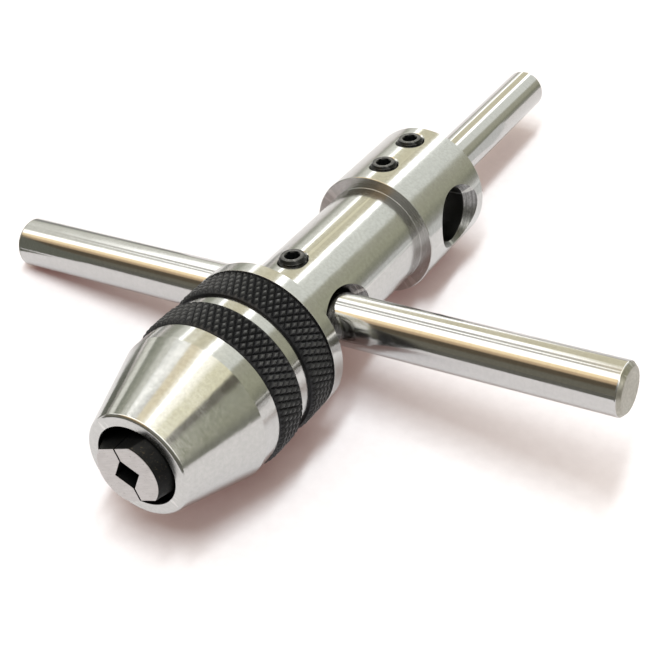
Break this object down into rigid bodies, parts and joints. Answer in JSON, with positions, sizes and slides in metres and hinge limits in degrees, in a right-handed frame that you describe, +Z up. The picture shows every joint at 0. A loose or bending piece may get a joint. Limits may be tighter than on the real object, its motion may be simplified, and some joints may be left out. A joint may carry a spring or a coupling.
{
  "type": "tap wrench",
  "caption": "T-handle tap wrench: knurled two-jaw chuck sleeve on a round spindle, sliding cross bar, and a guide rod clamped in a rear collar.",
  "frame": {"origin": "middle of the underside of the bounding box, on the flat surface that the tool lies on", "axes": "+Y runs from the chuck's nose to the guide rod, sloping down 2.5 degrees; the T-bar runs along X, its -X end resting on the surface; +Z is up"},
  "size_m": [0.1456, 0.1694, 0.0363],
  "materials": {
    "turned_steel": "fine turned steel, bright, with fine lathe lines; black oxide left in the knurls",
    "bright_steel": "bright drawn and plated bar",
    "jaw_steel": "ground, satin",
    "spring_steel": "bright spring wire",
    "black_oxide": "oiled black oxide"
  },
  "bodies": {
    "spindle": {"spindle_body": "turned_steel", "jaw_spring_upper": "spring_steel", "jaw_spring_lower": "spring_steel"},
    "stop_ring": {"sleeve_stop_ring": "spring_steel"},
    "sleeve": {"chuck_sleeve": "turned_steel"},
    "jaw_right": {"jaw_right": "jaw_steel"},
    "jaw_left": {"jaw_left": "jaw_steel"},
    "t_bar": {"t_bar": "bright_steel"},
    "guide_rod": {"guide_rod": "bright_steel"},
    "bar_screw": {"bar_set_screw": "black_oxide"},
    "rod_screw_front": {"rod_set_screw_front": "black_oxide"},
    "rod_screw_rear": {"rod_set_screw_rear": "black_oxide"}
  },
  "joints": [
    {"name": "sleeve_travel", "type": "slide", "parent": "spindle", "child": "stop_ring", "axis": [0, -0.9991, 0.0429], "range_m": [0, 0.0055]},
    {"name": "sleeve_turn", "type": "hinge", "parent": "stop_ring", "child": "sleeve", "pos_m": [0.00084, -0.08164, 0.01994], "axis": [0, -0.9991, 0.0429], "range_deg": [0, 1320]},
    {"name": "jaw_right_slide", "type": "slide", "parent": "spindle", "child": "jaw_right", "axis": [0.8782, 0.0205, 0.4778], "range_m": [0, 0.00201]},
    {"name": "jaw_left_slide", "type": "slide", "parent": "spindle", "child": "jaw_left", "axis": [-0.8782, -0.0205, -0.4778], "range_m": [0, 0.00201]},
    {"name": "t_bar_slide", "type": "slide", "parent": "spindle", "child": "t_bar", "axis": [0.9861, 0.0071, 0.1661], "range_m": [-0.058, 0.06]},
    {"name": "guide_rod_slide", "type": "slide", "parent": "spindle", "child": "guide_rod", "axis": [0, 0.9991, -0.0429], "range_m": [-0.02, 0.015]},
    {"name": "bar_screw_out", "type": "slide", "parent": "spindle", "child": "bar_screw", "axis": [-0.1663, 0.0423, 0.9852], "range_m": [0, 0.003]},
    {"name": "rod_screw_front_out", "type": "slide", "parent": "spindle", "child": "rod_screw_front", "axis": [-0.1663, 0.0423, 0.9852], "range_m": [0, 0.004]},
    {"name": "rod_screw_rear_out", "type": "slide", "parent": "spindle", "child": "rod_screw_rear", "axis": [-0.1663, 0.0423, 0.9852], "range_m": [0, 0.004]}
  ],
  "couplings": [
    {"joint": "sleeve_travel", "follows": "sleeve_turn", "m_per_rad": 0.0002387},
    {"joint": "jaw_right_slide", "follows": "sleeve_turn", "m_per_rad": 0.00008688},
    {"joint": "jaw_left_slide", "follows": "sleeve_turn", "m_per_rad": 0.00008688}
  ]
}
